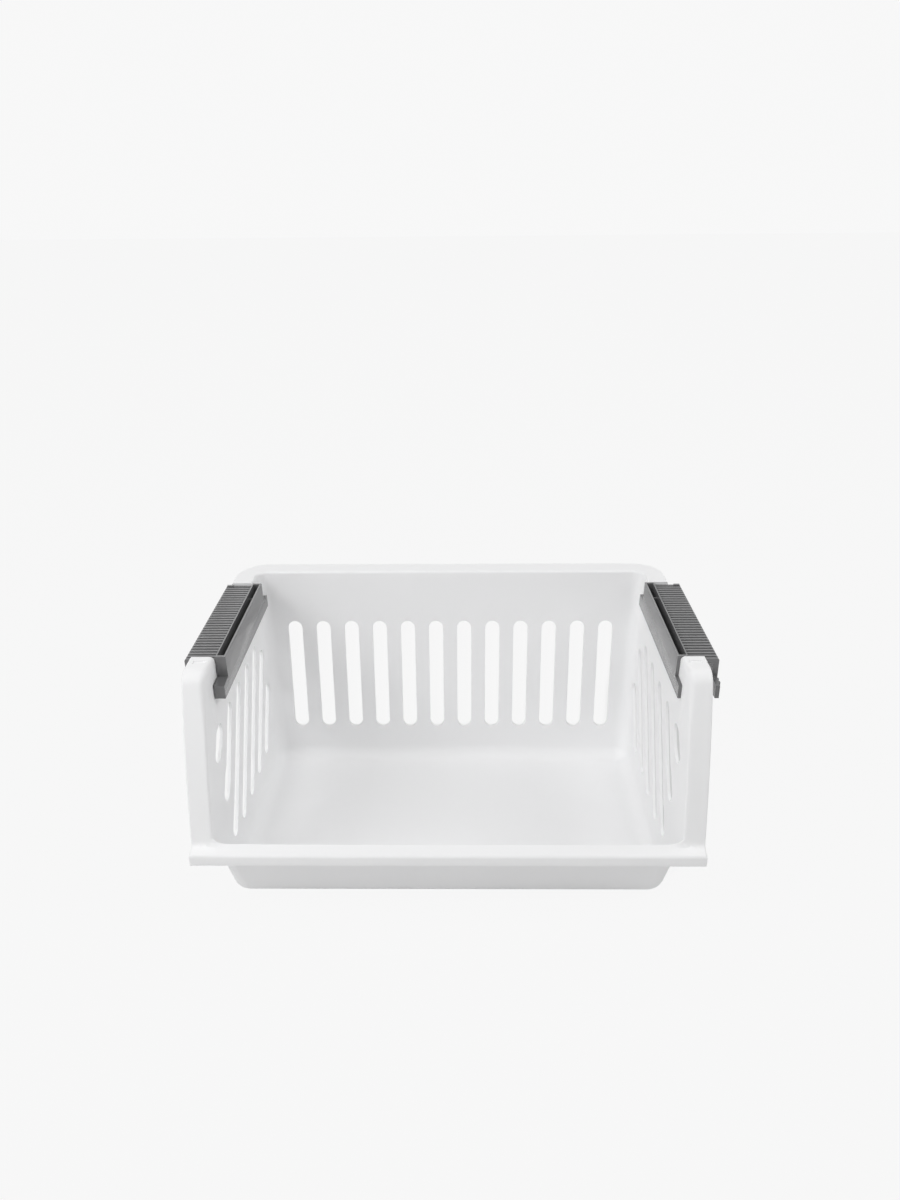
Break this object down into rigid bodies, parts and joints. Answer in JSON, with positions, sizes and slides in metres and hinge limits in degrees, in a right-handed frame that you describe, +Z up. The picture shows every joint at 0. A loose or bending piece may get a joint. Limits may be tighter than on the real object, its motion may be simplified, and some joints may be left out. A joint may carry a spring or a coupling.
{
  "type": "stackable storage basket",
  "caption": "White open-front stacking basket with slotted walls and a rounded tray bottom; ribbed dark grey stacking clips straddle the side rims and slide in and out.",
  "frame": {"origin": "on the table under the middle of the basket", "axes": "+Z up, the open front faces -Y, +X to the right seen from the front"},
  "size_m": [0.3643, 0.228, 0.175],
  "materials": {
    "white_plastic": "satin, smooth moulded",
    "grey_plastic": "satin, ribbed moulding"
  },
  "bodies": {
    "basket": {"basket_body": "white_plastic"},
    "left_clip": {"left_clip": "grey_plastic"},
    "right_clip": {"right_clip": "grey_plastic"}
  },
  "joints": [
    {"name": "left_clip_slide", "type": "slide", "parent": "basket", "child": "left_clip", "axis": [-1, 0, 0], "range_m": [0, 0.0055]},
    {"name": "right_clip_slide", "type": "slide", "parent": "basket", "child": "right_clip", "axis": [-1, 0, 0], "range_m": [0, 0.0055]}
  ]
}
